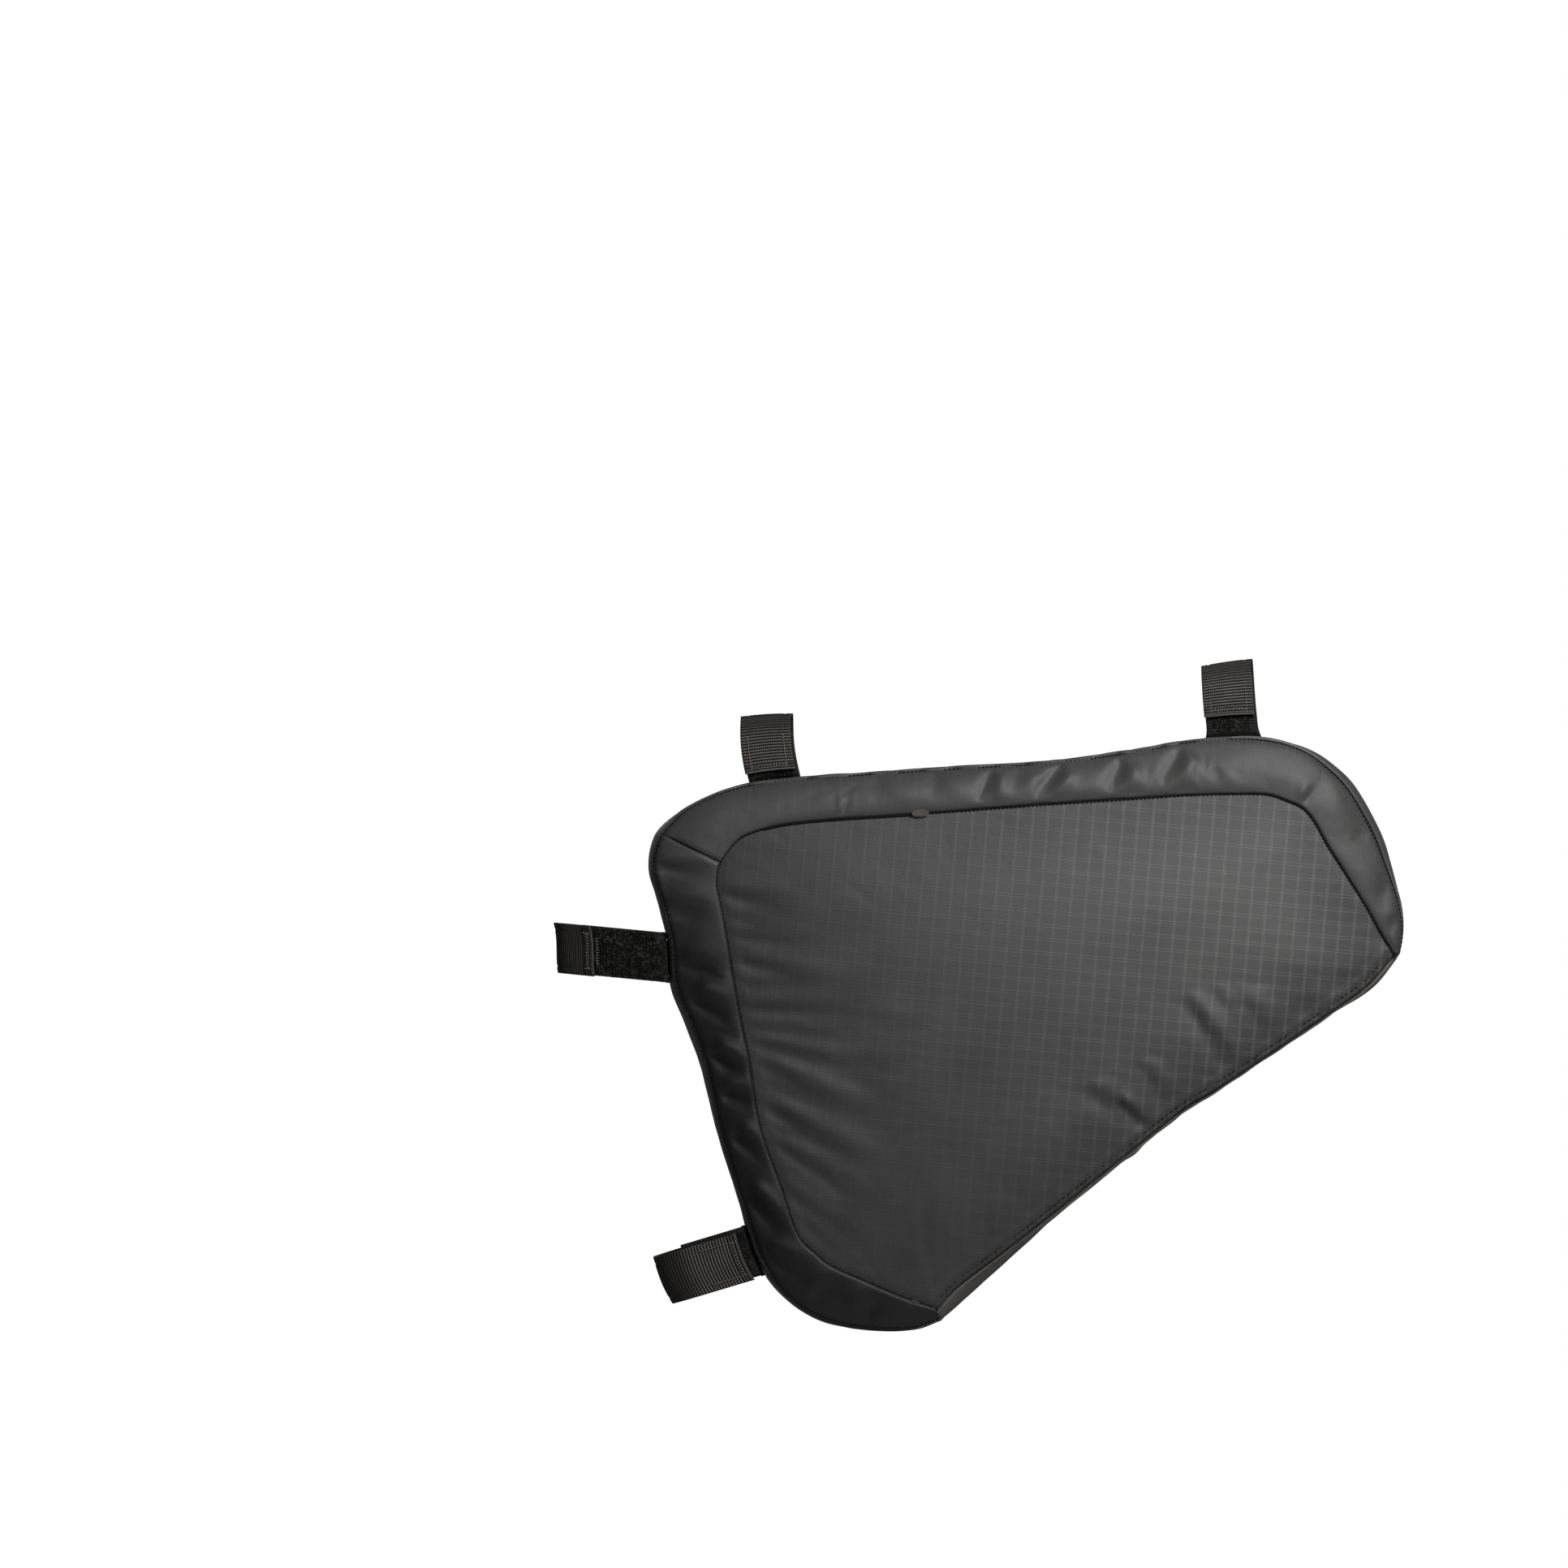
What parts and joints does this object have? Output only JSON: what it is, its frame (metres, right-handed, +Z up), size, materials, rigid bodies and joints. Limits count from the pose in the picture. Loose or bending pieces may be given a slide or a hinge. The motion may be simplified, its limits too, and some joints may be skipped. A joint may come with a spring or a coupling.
{
  "type": "triangular frame bag",
  "caption": "Narrow triangular fabric bag with crowned side panels, padded edge bands and hook-and-loop straps that hang it from two bars.",
  "frame": {"origin": "midway between the two top straps, at the middle of the bar that they wrap", "axes": "+X to the bag's front, +Y to its far side, +Z up"},
  "size_m": [0.346, 0.061, 0.2728],
  "materials": {
    "ripstop_right": "coated ripstop, satin",
    "ripstop_left": "coated ripstop, satin",
    "rear_band_nylon_right": "smooth nylon, satin",
    "rear_band_nylon_left": "smooth nylon, satin",
    "top_band_nylon_right": "smooth nylon, satin",
    "top_band_nylon_left": "smooth nylon, satin",
    "rim_gusset_nylon": "smooth nylon, matte",
    "underside_ripstop": "coated ripstop, matte",
    "loop_pile": "fuzzy loop pile",
    "ribbed_webbing": "ribbed webbing, matte"
  },
  "bodies": {
    "root": {"side_panel_right": "ripstop_right", "side_panel_left": "ripstop_left", "band_rear_right": "rear_band_nylon_right", "band_rear_left": "rear_band_nylon_left", "band_top_right": "top_band_nylon_right", "band_top_left": "top_band_nylon_left", "rim_gusset": "rim_gusset_nylon", "underside_gusset": "underside_ripstop", "strap_top_rear_tape": "loop_pile", "strap_top_rear_webbing": "ribbed_webbing", "strap_top_front_tape": "loop_pile", "strap_top_front_webbing": "ribbed_webbing", "strap_rear_upper_tape": "loop_pile", "strap_rear_upper_webbing": "ribbed_webbing", "strap_rear_lower_tape": "loop_pile", "strap_rear_lower_webbing": "ribbed_webbing"}
  },
  "joints": []
}
